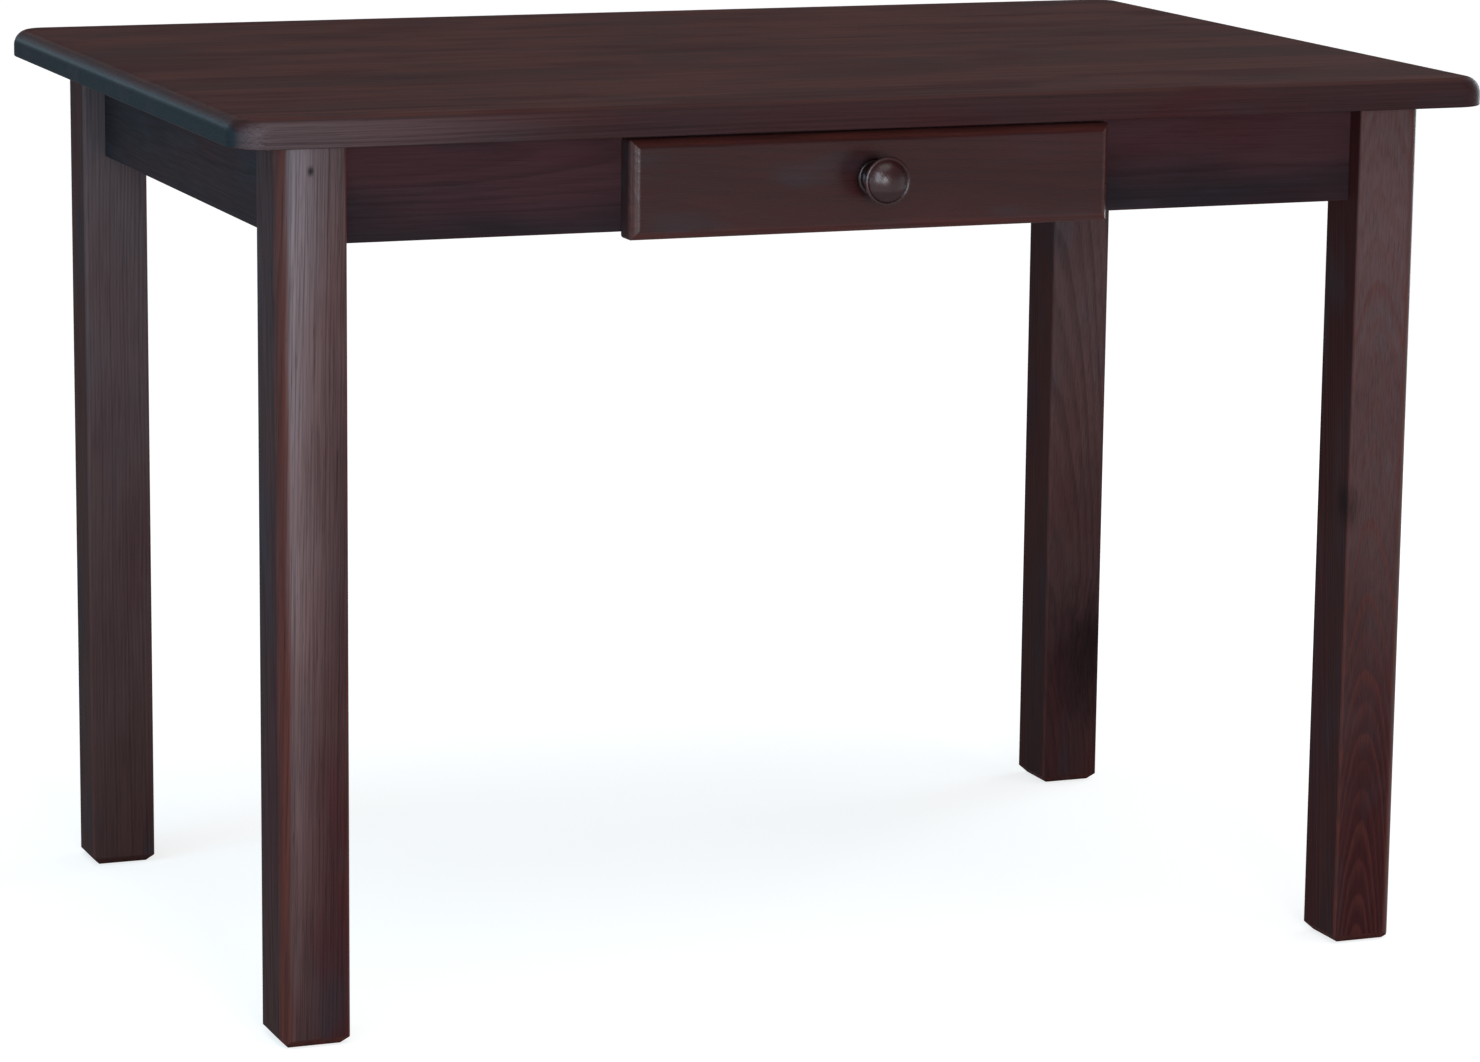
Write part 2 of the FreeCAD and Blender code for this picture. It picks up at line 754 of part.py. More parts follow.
nodes = {
    "top_panel": make_top().cut(button_screw_holes + kicker_screw_holes),
    "leg_front_left": leg,
    "leg_front_right": mirrored_x(leg),
    "leg_back_left": mirrored_y(leg),
    "leg_back_right": mirrored_y(mirrored_x(leg)),
    "front_apron": long_apron.cut(apron_cuts + [window]),
    "back_apron": mirrored_y(long_apron).cut(apron_cuts),
    "left_apron": short_apron.cut(apron_cuts),
    "right_apron": mirrored_x(short_apron).cut(apron_cuts),
    "corner_block_front_left": corner_block,
    "corner_block_front_right": mirrored_x(corner_block),
    "corner_block_back_left": mirrored_y(corner_block),
    "corner_block_back_right": mirrored_y(mirrored_x(corner_block)),
    "corner_block_screws": Part.makeCompound(block_screws),
    "hanger_bolts": Part.makeCompound(four_ways([make_bolt()])),
    "hanger_washers": Part.makeCompound(four_ways([make_washer()])),
    "hanger_nuts": Part.makeCompound(four_ways([make_nut()])),
    "top_buttons": Part.makeCompound(buttons),
    "top_button_screws": Part.makeCompound(button_screws),
    "drawer_runner_left": runner,
    "drawer_runner_right": mirrored_x(runner),
    "runner_dowels": Part.makeCompound(runner_dowels),
    "drawer_kicker_left": kicker,
    "drawer_kicker_right": mirrored_x(kicker),
    "kicker_screws": Part.makeCompound(kicker_screws),
    "drawer_front": make_drawer_board().cut(drawer_front_cuts),
    "drawer_side_left": drawer_side,
    "drawer_side_right": mirrored_x(drawer_side),
    "drawer_back": make_drawer_back().cut(bottom_screw_holes),
    "drawer_bottom": make_drawer_floor(drawer_back_rear).cut(bottom_screw_holes),
    "drawer_bottom_screws": Part.makeCompound(bottom_screws),
    "drawer_knob": make_knob(),
    "knob_screw": make_knob_screw(),
}

os.makedirs("parts", exist_ok=True)
for name, shape in nodes.items():
    shape.exportStep(os.path.join("parts", name + ".step"))
    print(name, "solids", len(shape.Solids), "valid", shape.isValid(), "cm3", round(shape.Volume / 1000, 2))
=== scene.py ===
# %% [markdown]
# # A stained pine kitchen table
# The table's pieces are already modelled as solids at their real size. This lesson gives them
# their finish: dark stained pine outside, bare pine and plywood inside, and plated steel for
# the fasteners. The pieces could be modelled again here, but the solids already have every
# rounding and joint, so they stay as they are. We load them first, with a helper that gives
# the box that a piece fills. A finish may not make the table any bigger.

# %% Load the table
import math
import bmesh
import bpy
from mathutils import Matrix, Vector


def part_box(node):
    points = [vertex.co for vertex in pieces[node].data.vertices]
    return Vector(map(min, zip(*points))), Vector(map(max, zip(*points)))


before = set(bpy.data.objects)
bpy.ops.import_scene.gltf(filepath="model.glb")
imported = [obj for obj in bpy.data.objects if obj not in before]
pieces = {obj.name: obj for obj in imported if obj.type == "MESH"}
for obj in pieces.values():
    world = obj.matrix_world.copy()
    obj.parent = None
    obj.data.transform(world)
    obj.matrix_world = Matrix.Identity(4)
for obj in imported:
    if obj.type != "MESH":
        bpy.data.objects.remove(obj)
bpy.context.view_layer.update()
print("pieces loaded:", len(pieces))

# %% [markdown]
# ## Camera
# The photograph looks at the front left corner from chest height, and its legs are almost
# parallel. A short lens close up would spread them, so the camera has a long lens and stands
# about four and a half metres from the table's middle. Its own axes are worked out from three
# angles: how far it turns to the right, how far it looks down, and a slight lean.

# %% Place the camera
IMAGE_WIDTH = 1480
FOCAL_PIXELS = 5151.9
SENSOR_WIDTH = 36.0
CAMERA_PLACE = (-1.6325, -4.1852, 1.2278)
TURN = math.radians(21.519)
PITCH = math.radians(-11.258)
LEAN = math.radians(0.633)

forward = Vector((math.sin(TURN) * math.cos(PITCH), math.cos(TURN) * math.cos(PITCH), math.sin(PITCH)))
level_right = Vector((math.cos(TURN), -math.sin(TURN), 0))
level_up = level_right.cross(forward)
right = level_right * math.cos(LEAN) + level_up * math.sin(LEAN)
up = level_up * math.cos(LEAN) - level_right * math.sin(LEAN)
camera_axes = Matrix((right, up, -forward)).transposed().to_4x4()

camera_data = bpy.data.cameras.new("camera")
camera_data.sensor_width = SENSOR_WIDTH
camera_data.lens = FOCAL_PIXELS / IMAGE_WIDTH * SENSOR_WIDTH
camera = bpy.data.objects.new("camera", camera_data)
camera.matrix_world = Matrix.Translation(Vector(CAMERA_PLACE)) @ camera_axes
bpy.context.scene.collection.objects.link(camera)
bpy.context.scene.camera = camera
bpy.context.scene.view_settings.view_transform = "Standard"
print("lens in mm:", round(camera_data.lens, 1))

# %% [markdown]
# ## Helpers for nodes
# A finish is a tree of shader nodes. It could be drawn by hand in the node editor, but a script
# can be read, changed and run again. With these helpers one short line makes one node. They take
# either a socket, which is linked, or a plain value, which is typed into the input.

# %% Node helpers


def join(tree, value, socket):
    """Links a socket, or sets a plain value."""
    if isinstance(value, bpy.types.NodeSocket):
        tree.links.new(value, socket)
    else:
        socket.default_value = value


def node(tree, kind, inputs=None, **settings):
    """A shader node with its settings and its named inputs."""
    made = tree.nodes.new("ShaderNode" + kind)
    for name, value in settings.items():
        setattr(made, name, value)
    for name, value in (inputs or {}).items():
        join(tree, value, made.inputs[name])
    return made


def calculate(tree, operation, *values):
    """One step of arithmetic with numbers."""
    made = node(tree, "Math", operation=operation)
    for value, socket in zip(values, made.inputs):
        join(tree, value, socket)
    return made.outputs["Value"]


def combine(tree, operation, *vectors):
    """One step of arithmetic with vectors. A length comes out as a number, all else as a vector."""
    made = node(tree, "VectorMath", operation=operation)
    for vector, socket in zip(vectors, made.inputs):
        join(tree, vector, socket)
    return made.outputs["Value" if operation == "LENGTH" else "Vector"]


def split(tree, vector):
    """The X, Y and Z parts of a vector."""
    return node(tree, "SeparateXYZ", {"Vector": vector}).outputs


print("node helpers ready")

# %% [markdown]
# ## Helpers for ranges, colours and noise
# Wood has no sharp steps: stain fades, haze thins out and rings blur. So values are moved from
# one range to another along a smooth curve, because a straight one leaves a line where it ends.
# Noise gives what is uneven. It has its own number of cells per metre along each axis, because
# the marks of wood are long along its grain and narrow across it.

# %% Ranges, colours and noise
NOISE_MIDDLE = 0.5
NOISE_SPREAD = (0.3, 0.7)


def remap(tree, value, low, high, new_low=0.0, new_high=1.0):
    """Moves a value smoothly from one range to another."""
    inputs = {"Value": value, "From Min": low, "From Max": high, "To Min": new_low, "To Max": new_high}
    return node(tree, "MapRange", inputs, interpolation_type="SMOOTHSTEP").outputs["Result"]


def rgb(red, green, blue):
    """A solid colour from its linear parts."""
    return (red, green, blue, 1.0)


def mix_colours(tree, amount, first, second):
    """The first colour where amount is 0, and the second where it is 1."""
    made = node(tree, "Mix", {"Factor": amount}, data_type="RGBA")
    colour_inputs = [socket for socket in made.inputs if socket.type == "RGBA"]
    join(tree, first, colour_inputs[0])
    join(tree, second, colour_inputs[1])
    return [socket for socket in made.outputs if socket.type == "RGBA"][0]


def stretched_noise(tree, place, cells, detail=2.0, roughness=0.5):
    """Noise with its own number of cells per metre along each axis."""
    scaled = combine(tree, "MULTIPLY", place, cells)
    inputs = {"Vector": scaled, "Scale": 1.0, "Detail": detail, "Roughness": roughness}
    return node(tree, "TexNoise", inputs).outputs["Fac"]


def uneven(tree, place, cells, detail=2.0):
    """Noise that swings about zero."""
    return calculate(tree, "SUBTRACT", stretched_noise(tree, place, cells, detail), NOISE_MIDDLE)


print("most noise lies between", *NOISE_SPREAD)

# %% [markdown]
# ## The figure of pine: yearly rings
# A board is a slice of a log. Its lines are the yearly rings, cut lengthwise: straight where
# the cut runs across the rings, and nested arches where it runs along them. A flat stripe
# pattern would not turn the corner of a board rightly, so the figure is worked out in space:
# the distance from the log's middle, made uneven by noise, is divided into rings, and each
# ring goes slowly from soft early wood to hard late wood. One group holds this for all boards.

# %% Node group with the yearly rings
ACROSS_GRAIN = (1.0, 1.0, 0.0)
RING_WANDER = 0.016
WANDER_CELLS = (7.0, 7.0, 1.6)
RING_RIPPLE = 0.0026
RIPPLE_CELLS = (50.0, 50.0, 9.0)
RIPPLE_DETAIL = 3.0
LATE_RISE = (0.25, 0.82)
LATE_FALL = (1.0, 0.84)
YEAR_STRENGTH = (0.35, 1.0)

figure = bpy.data.node_groups.new("pine_figure", "ShaderNodeTree")
for input_name, kind in (("Place", "Vector"), ("Ring width", "Float"), ("Swell", "Float")):
    figure.interface.new_socket(name=input_name, in_out="INPUT", socket_type="NodeSocket" + kind)
for output_name in ("Late wood", "Fibre", "Fleck", "Cloud", "Knot"):
    figure.interface.new_socket(name=output_name, in_out="OUTPUT", socket_type="NodeSocketFloat")
figure_in = figure.nodes.new("NodeGroupInput").outputs
figure_out = figure.nodes.new("NodeGroupOutput").inputs
log_point = figure_in["Place"]

radius = combine(figure, "LENGTH", combine(figure, "MULTIPLY", log_point, ACROSS_GRAIN))
wander = uneven(figure, log_point, WANDER_CELLS)
radius = calculate(figure, "MULTIPLY_ADD", wander, RING_WANDER, radius)
ripple = uneven(figure, log_point, RIPPLE_CELLS, RIPPLE_DETAIL)
radius = calculate(figure, "MULTIPLY_ADD", ripple, RING_RIPPLE, radius)
radius = calculate(figure, "ADD", radius, figure_in["Swell"])
ring = calculate(figure, "DIVIDE", radius, figure_in["Ring width"])
growth = calculate(figure, "FRACT", ring)
year = node(figure, "TexWhiteNoise", {"W": calculate(figure, "FLOOR", ring)}, noise_dimensions="1D")
late = calculate(figure, "MULTIPLY", remap(figure, growth, *LATE_RISE), remap(figure, growth, *LATE_FALL))
strength = remap(figure, year.outputs["Value"], 0.0, 1.0, *YEAR_STRENGTH)
join(figure, calculate(figure, "MULTIPLY", late, strength), figure_out["Late wood"])
print("nodes for the rings:", len(figure.nodes))

# %% [markdown]
# ## The figure of pine: fibres, resin canals and small knots
# Pine also has fine fibres, short dark flecks where resin canals are cut open, broad clouds
# where it takes up more stain, and a few small knots. A picture of wood laid over each board
# would show them, but it has seams at the corners. Noise in the same space as the rings has
# none. The knots are the middles of scattered cells.

# %% Fibres, flecks, clouds and scattered knots
FIBRE_CELLS = (800.0, 800.0, 7.0)
FIBRE_DETAIL = 3.0
FIBRE_ROUGHNESS = 0.6
CANAL_CELLS = (900.0, 900.0, 40.0)
CANAL_DETAIL = 1.0
CANAL_RANGE = (0.60, 0.74)
CLOUD_CELLS = (10.0, 10.0, 3.2)
BRANCH_CELLS = (14.0, 14.0, 5.0)
BRANCH_RANGE = (0.034, 0.020)

fibres = stretched_noise(figure, log_point, FIBRE_CELLS, FIBRE_DETAIL, FIBRE_ROUGHNESS)
join(figure, fibres, figure_out["Fibre"])
canals = stretched_noise(figure, log_point, CANAL_CELLS, CANAL_DETAIL)
join(figure, remap(figure, canals, *CANAL_RANGE), figure_out["Fleck"])
join(figure, stretched_noise(figure, log_point, CLOUD_CELLS), figure_out["Cloud"])
branches = {"Vector": combine(figure, "MULTIPLY", log_point, BRANCH_CELLS), "Scale": 1.0}
branch_distance = node(figure, "TexVoronoi", branches).outputs["Distance"]
join(figure, remap(figure, branch_distance, *BRANCH_RANGE), figure_out["Knot"])


def pine_figure(tree, place, ring_width, swell=0.0):
    """The figure of pine in a material, as its named outputs."""
    inputs = {"Place": place, "Ring width": ring_width, "Swell": swell}
    return node(tree, "Group", inputs, node_tree=figure).outputs


print("nodes in the figure of pine:", len(figure.nodes))

# %% [markdown]
# ## A board and its log
# Each board is cut from its own log, so no two boards share their lines. The lines could be
# shifted by moving the board, but the pieces stay where they are. A Mapping node moves and
# turns the coordinates instead, so that the log's middle runs along the board's grain. A log
# that is tilted a little gives arches in place of straight lines.

# %% Materials and logs
QUARTER_TURN = math.pi / 2
GRAIN_TURNS = {"X": (0.0, QUARTER_TURN, 0.0), "Y": (-QUARTER_TURN, 0.0, 0.0), "Z": (0.0, 0.0, 0.0)}


def new_material(name):
    """A material with its node tree and its shader."""
    material = bpy.data.materials.new(name)
    material.use_nodes = True
    tree = material.node_tree
    return material, tree, tree.nodes["Principled BSDF"]


def dress(piece, material):
    """Gives a piece its one material."""
    pieces[piece].data.materials.clear()
    pieces[piece].data.materials.append(material)


def object_place(tree):
    """Where a point lies, in metres, in the piece's own coordinates."""
    return node(tree, "TexCoord").outputs["Object"]


def log_place(tree, piece, log_offset, grain, tilt):
    """The same point, seen from the middle of the log that the piece was cut from."""
    low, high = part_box(piece)
    inputs = {
        "Vector": object_place(tree),
        "Location": (low + high) / 2 + Vector(log_offset),
        "Rotation": Vector(GRAIN_TURNS[grain]) + Vector(tilt),
    }
    return node(tree, "Mapping", inputs, vector_type="TEXTURE").outputs["Vector"]


print("grain can run along", *GRAIN_TURNS)

# %% [markdown]
# ## Edges, undersides and sawn ends
# Stain is rubbed thin along rounded edges, and lacquer stays dull on undersides and sawn ends.
# These places could be painted by hand on each piece. It is less work to let the surface tell
# them apart by the direction that it faces: on a flat side the normal points along one axis,
# and on a rounding it doesn't.

# %% Masks from the direction of the surface
FLAT_TO_ROUND = (1.0, 0.90)
LEVEL_TO_UNDER = (-0.10, -0.45)
SIDE_TO_END = (0.75, 0.95)


def surface_normal(tree):
    """The direction that the surface faces."""
    return node(tree, "NewGeometry").outputs["Normal"]


def edge_mask(tree):
    """0 on flat sides, and 1 in the middle of a rounded edge."""
    parts = split(tree, combine(tree, "ABSOLUTE", surface_normal(tree)))
    largest = calculate(tree, "MAXIMUM", parts["X"], calculate(tree, "MAXIMUM", parts["Y"], parts["Z"]))
    return remap(tree, largest, *FLAT_TO_ROUND)


def underside_mask(tree):
    """1 where the surface looks down, and 0 elsewhere."""
    return remap(tree, split(tree, surface_normal(tree))["Z"], *LEVEL_TO_UNDER)


def end_mask(tree, axis):
    """1 on the ends of a board whose grain runs along the axis, and 0 on its sides."""
    parts = split(tree, combine(tree, "ABSOLUTE", surface_normal(tree)))
    return remap(tree, parts[axis], *SIDE_TO_END)


print("an edge is round where no part of its normal is over", FLAT_TO_ROUND[1])

# %% [markdown]
# ## Painted sheen on the legs
# A pale sheen lies on the front of the legs. It is painted light: a window's reflection and the
# light from above, painted into the colour, so the legs are lighter high up. On the front left
# leg it slants: it reaches the foot along the left edge, and it is thinner to the right. On the
# other legs it is fainter, and runs straight across. A lamp's sheen would slide along the leg as
# the camera moves, and this painted one stays in place. It is redder low down, greyer high up,
# and mottled by noise. Heights are shares of the leg's height.

# %% Painted sheen
# Painted sheen: colours that stand in for a window's reflection and light from above on the legs.
PAINTED_SHEEN_RED = rgb(0.186, 0.116, 0.116)
PAINTED_SHEEN_GREY = rgb(0.262, 0.214, 0.226)
PAINTED_SHEEN_SKIN = 0.004
PAINTED_SHEEN_CELLS = (24.0, 24.0, 9.0)
PAINTED_SHEEN_MOTTLE = 0.4
GREY_START = 0.30
GREY_FULL = 0.95


def haze_layer(tree, piece, amount, start=0.05, full=0.75, slant=0.0, fade=0.0, grey=0.3, side=0.0):
    """How much painted sheen lies on the front and the left side of a leg, and its colour."""
    low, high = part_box(piece)
    place = object_place(tree)
    parts = split(tree, place)
    across = remap(tree, parts["X"], low.x, high.x)
    level = calculate(tree, "MULTIPLY_ADD", across, -slant * high.z, parts["Z"])
    mottle = uneven(tree, place, PAINTED_SHEEN_CELLS)
    level = calculate(tree, "MULTIPLY_ADD", mottle, PAINTED_SHEEN_MOTTLE * high.z, level)
    upper = remap(tree, level, start * high.z, full * high.z, 0.0, amount)
    thinner = calculate(tree, "MULTIPLY_ADD", across, -fade, 1.0)
    front = remap(tree, parts["Y"], low.y + PAINTED_SHEEN_SKIN, low.y)
    mask = calculate(tree, "MULTIPLY", calculate(tree, "MULTIPLY", upper, thinner), front)
    left_side = remap(tree, parts["X"], low.x + PAINTED_SHEEN_SKIN, low.x, 0.0, side)
    mask = calculate(tree, "MAXIMUM", mask, left_side)
    greyness = remap(tree, level, GREY_START * high.z, GREY_FULL * high.z, 0.0, grey)
    return mask, mix_colours(tree, greyness, PAINTED_SHEEN_RED, PAINTED_SHEEN_GREY)


print("haze goes from red", PAINTED_SHEEN_RED[:3], "to grey", PAINTED_SHEEN_GREY[:3])

# %% [markdown]
# ## Knots in their own places
# A knot is the foot of a branch. It is longer along the grain than across it, and it pushes the
# rings aside. Scattered knots fall anywhere, but three in the photograph are plain to see, so
# each of these gets its own place. It is a dark ball with an uneven rim, and it swells the
# distance that the rings are counted by.

# %% Single knots
KNOT_SHORTENING = (1.0, 1.0, 0.6)
KNOT_CELLS = (90.0, 90.0, 30.0)
KNOT_RIM = 0.7
KNOT_SWELL = 0.2


def single_knots(tree, knots):
    """How dark the given knots make the wood, and how far they push its rings outwards."""
    shade = 0.0
    swell = 0.0
    for middle, knot_radius in knots:
        place = object_place(tree)
        offset = combine(tree, "SUBTRACT", place, middle)
        distance = combine(tree, "LENGTH", combine(tree, "MULTIPLY", offset, KNOT_SHORTENING))
        rim = uneven(tree, place, KNOT_CELLS)
        distance = calculate(tree, "MULTIPLY_ADD", rim, KNOT_RIM * knot_radius, distance)
        mask = remap(tree, distance, knot_radius, 0.0)
        shade = calculate(tree, "ADD", shade, mask)
        swell = calculate(tree, "MULTIPLY_ADD", mask, KNOT_SWELL * knot_radius, swell)
    return shade, swell


print("a knot is", round(1 / KNOT_SHORTENING[2], 2), "times as long as it is wide")

# %% [markdown]
# ## Stain
# The visible boards are stained dark red-brown. One flat colour would look like paint, because
# stain sinks in unevenly: it makes clouds, cold and crimson patches, and darker rings and
# fibres, and it is rubbed thinner along rounded edges. So the colour is built in layers, from
# two ground tones to the dark lines on top.

# %% Stain
STAIN = rgb(0.042, 0.0165, 0.0170)
STAIN_RED = rgb(0.062, 0.0190, 0.0165)
STAIN_DARK = rgb(0.013, 0.0060, 0.0070)
STAIN_CRIMSON = rgb(0.052, 0.0110, 0.0125)
STAIN_SLATE = rgb(0.034, 0.0245, 0.0300)
EDGE_RUBBED = rgb(0.105, 0.030, 0.023)
CLOUD_RANGE = (0.36, 0.64)
SLATE_CELLS = (26.0, 26.0, 9.0)
SLATE_RANGE = (0.50, 0.72)
CRIMSON_CELLS = (19.0, 19.0, 6.0)
CRIMSON_RANGE = (0.50, 0.70)
WEAR_CELLS = (120.0, 120.0, 5.0)
WEAR_RANGE = (0.32, 0.66)
LEAST_WEAR = 0.45
FLECK_DARKNESS = 0.18
FIBRE_RANGE = (0.40, 0.72)
FIBRE_DARKNESS = 0.38
KNOT_DARKNESS = 0.85


def stain(tree, shader, place, wood, shade, ground=(STAIN, STAIN_RED), tone=0.0, slate=0.8, blush=0.6,
          haze=(0.0, PAINTED_SHEEN_RED), rub=0.35, rings=0.30, ring_stain=STAIN_DARK, lines=1.0):
    """The stain's colour: ground and patches, then painted sheen and rubbed edges, then rings and dark
    lines.
    """
    cloud = calculate(tree, "ADD", wood["Cloud"], tone)
    colour = mix_colours(tree, remap(tree, cloud, *CLOUD_RANGE), *ground)
    cold = remap(tree, stretched_noise(tree, place, SLATE_CELLS), *SLATE_RANGE, 0.0, slate)
    colour = mix_colours(tree, cold, colour, STAIN_SLATE)
    crimson = remap(tree, stretched_noise(tree, place, CRIMSON_CELLS), *CRIMSON_RANGE, 0.0, blush)
    colour = mix_colours(tree, crimson, colour, STAIN_CRIMSON)
    colour = mix_colours(tree, haze[0], colour, haze[1])
    wear = remap(tree, stretched_noise(tree, place, WEAR_CELLS), *WEAR_RANGE, LEAST_WEAR * rub, rub)
    colour = mix_colours(tree, calculate(tree, "MULTIPLY", edge_mask(tree), wear), colour, EDGE_RUBBED)
    colour = mix_colours(tree, calculate(tree, "MULTIPLY", wood["Late wood"], rings), colour, ring_stain)
    dark = calculate(tree, "MULTIPLY", wood["Fleck"], FLECK_DARKNESS * lines)
    dark_fibres = remap(tree, wood["Fibre"], *FIBRE_RANGE, 0.0, FIBRE_DARKNESS * lines)
    dark = calculate(tree, "ADD", dark, dark_fibres)
    dark = calculate(tree, "MULTIPLY_ADD", shade, KNOT_DARKNESS, dark)
    dark = calculate(tree, "MAXIMUM", calculate(tree, "MINIMUM", dark, 1.0), wood["Knot"])
    join(tree, mix_colours(tree, dark, colour, STAIN_DARK), shader.inputs["Base Color"])


print("ground tones of the stain:", STAIN[:3], STAIN_RED[:3])

# %% [markdown]
# ## Lacquer
# The table has a thin, mostly dull lacquer, so the shader's own roughness and specular level
# are enough. A coat layer would shine too much. Rounded edges have a roughness of their own,
# undersides and sawn ends are dull, and a faint bump lets the late wood stand up and the resin
# canals sink in.

# %% Lacquer
ROUGHNESS_SWING = 0.05
DULL_ROUGHNESS = 0.9
CANAL_HEIGHT = -0.6
GRAIN_BUMP = 0.2
GRAIN_DEPTH = 0.0004


def lacquer(tree, shader, wood, lines=1.0, rough=0.85, edge_rough=0.42, specular=0.06, ends=None):
    """The lacquer's shine, and the feel of the grain."""
    roughness = remap(tree, wood["Fibre"], *NOISE_SPREAD, rough - ROUGHNESS_SWING, rough + ROUGHNESS_SWING)
    edge_change = calculate(tree, "MULTIPLY", edge_mask(tree), rough - edge_rough)
    roughness = calculate(tree, "SUBTRACT", roughness, edge_change)
    dull = underside_mask(tree)
    if ends:
        dull = calculate(tree, "MAXIMUM", dull, end_mask(tree, ends))
    dull = calculate(tree, "MULTIPLY", dull, DULL_ROUGHNESS)
    join(tree, calculate(tree, "MAXIMUM", roughness, dull), shader.inputs["Roughness"])
    shader.inputs["Specular IOR Level"].default_value = specular
    height = calculate(tree, "MULTIPLY_ADD", wood["Fleck"], CANAL_HEIGHT, wood["Late wood"])
    bump = node(tree, "Bump", {"Height": height, "Strength": GRAIN_BUMP * lines, "Distance": GRAIN_DEPTH})
    join(tree, bump.outputs["Normal"], shader.inputs["Normal"])


def finish_stained(tree, shader, place, ring_width, knots=(), lines=1.0, gloss=None, **stained):
    """Stain and lacquer over the figure of pine."""
    shade, swell = single_knots(tree, knots)
    wood = pine_figure(tree, place, ring_width, swell)
    stain(tree, shader, place, wood, shade, lines=lines, **stained)
    lacquer(tree, shader, wood, lines=lines, **(gloss or {}))


print("depth of the grain in mm:", GRAIN_DEPTH * 1000)

# %% [markdown]
# ## A stained board
# All stained boards take the same steps: a log, a stain and a lacquer. These could be written
# out for each board, but one function keeps them alike, and its settings show what is special
# about each board. Knots are placed by shares of the board's width, depth and height, so that
# they stay on it if its size changes.

# %% Stained boards


def tone_darker_below(tree, piece, amount):
    """A tone that is less at a board's upper edge, and more at its lower edge."""
    low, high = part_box(piece)
    return remap(tree, split(tree, object_place(tree))["Z"], low.z, high.z, amount, -amount)


def stained_board(piece, grain, log_offset, tilt, ring_width, haze=None, darker_below=0.0, knots=(), gloss=None,
                  dull_ends=True, **stained):
    """A stained finish for one board, cut from its own log."""
    low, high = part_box(piece)
    material, tree, shader = new_material("stained_" + piece)
    place = log_place(tree, piece, log_offset, grain, tilt)
    if haze:
        stained["haze"] = haze_layer(tree, piece, **haze)
    if darker_below:
        stained["tone"] = tone_darker_below(tree, piece, darker_below)
    placed_knots = [(low + (high - low) * Vector(knot["share"]), knot["radius"]) for knot in knots]
    gloss = dict(gloss or {}, ends=grain if dull_ends else None)
    finish_stained(tree, shader, place, ring_width, placed_knots, gloss=gloss, **stained)
    dress(piece, material)
    print("stained", piece, "with its grain along", grain)


print("legs and aprons to stain:", len([name for name in pieces if "leg_" in name or "apron" in name]))

# %% [markdown]
# ## Legs
# The four legs are square posts of pine with their grain upright. Copies of one material would
# give four equal legs, so each is cut from its own log: the front left one has straight lines,
# and the front right one has arches in a reddish stain.

# %% Stain the legs
DEEP = rgb(0.036, 0.0085, 0.0090)
STAIN_BROWN = rgb(0.064, 0.0260, 0.0235)

# The haze settings paint a sheen into the legs' colour: painted light and a painted reflection.
stained_board("leg_front_left", grain="Z", log_offset=(0.16, 0.05, 0.0), tilt=(0.01, 0.02, 0.0),
              ring_width=0.0027, rub=1.0, lines=1.2, blush=0.9,
              haze={"amount": 1.0, "start": -0.35, "full": 0.60, "slant": 0.45, "fade": 0.6, "grey": 1.0,
                    "side": 0.08},
              knots=[{"share": (0.483, 0.0, 0.969), "radius": 0.0035}])
stained_board("leg_front_right", grain="Z", log_offset=(-0.004, 0.020, 0.0), tilt=(-0.080, 0.01, 0.0),
              ring_width=0.0026, ground=(DEEP, STAIN), rub=0.6, rings=0.42, ring_stain=EDGE_RUBBED,
              lines=0.7, haze={"amount": 0.48, "full": 1.00, "grey": 0.15},
              knots=[{"share": (0.0, 0.138, 0.531), "radius": 0.018}])
stained_board("leg_back_left", grain="Z", log_offset=(0.14, 0.06, 0.31), tilt=(0.02, 0.02, 0.0),
              ring_width=0.0027, ground=(STAIN_BROWN, STAIN_RED), lines=0.7,
              haze={"amount": 0.58, "start": -0.35, "full": 0.95})
stained_board("leg_back_right", grain="Z", log_offset=(-0.03, 0.03, 0.0), tilt=(-0.070, 0.02, 0.0),
              ring_width=0.0046, slate=1.0, rub=0.5, rings=0.32, lines=0.7,
              haze={"amount": 0.36, "grey": 0.4},
              knots=[{"share": (0.776, 0.0, 0.175), "radius": 0.055}])

# %% [markdown]
# ## Aprons
# The aprons are the four boards under the top that join the legs. They hang in its shadow and
# look colder than the legs. A lamp can't shade four boards one by one, so the front and left
# aprons get ground tones of their own, which are painted shade. The front apron is darker
# towards its lower edge than towards its upper edge.

# %% Stain the aprons
# Painted shade: the ground tones of the front and left aprons stand in for the shadow under the top.
APRON_SHADE_PLUM = rgb(0.055, 0.0230, 0.0275)
APRON_SHADE_COLD = rgb(0.020, 0.0150, 0.0185)
STAIN_EDGE = rgb(0.036, 0.0175, 0.0195)
APRON_LOOK = {"ring_width": 0.0036, "lines": 0.6}

stained_board("front_apron", grain="X", log_offset=(0.0, 0.05, 0.02), tilt=(0.0, 0.02, 0.02),
              ground=(APRON_SHADE_PLUM, APRON_SHADE_COLD), blush=0.3, darker_below=0.14, **APRON_LOOK)
stained_board("back_apron", grain="X", log_offset=(0.0, -0.06, 0.03), tilt=(0.0, 0.02, -0.02),
              **APRON_LOOK)
stained_board("left_apron", grain="Y", log_offset=(0.05, 0.0, 0.03), tilt=(0.02, 0.0, 0.02),
              ground=(APRON_SHADE_COLD, STAIN_EDGE), blush=0.15, **APRON_LOOK)
stained_board("right_apron", grain="Y", log_offset=(-0.05, 0.0, 0.03), tilt=(0.02, 0.0, -0.02),
              **APRON_LOOK)

# %% [markdown]
# ## Drawer front and knob
# The drawer front and its turned knob have a deep red stain and more lacquer than the rest. They
# could have a coat layer over the stain, but the same finish with less roughness and a higher
# specular level gives their shine. The knob's grain runs from front to back, and its rounded
# face is lacquered like its sides, so its ends aren't dull.

# %% Stain the drawer front and the knob
DEEP_RED = rgb(0.047, 0.0105, 0.0098)
DEEP_DARK = rgb(0.024, 0.0062, 0.0066)

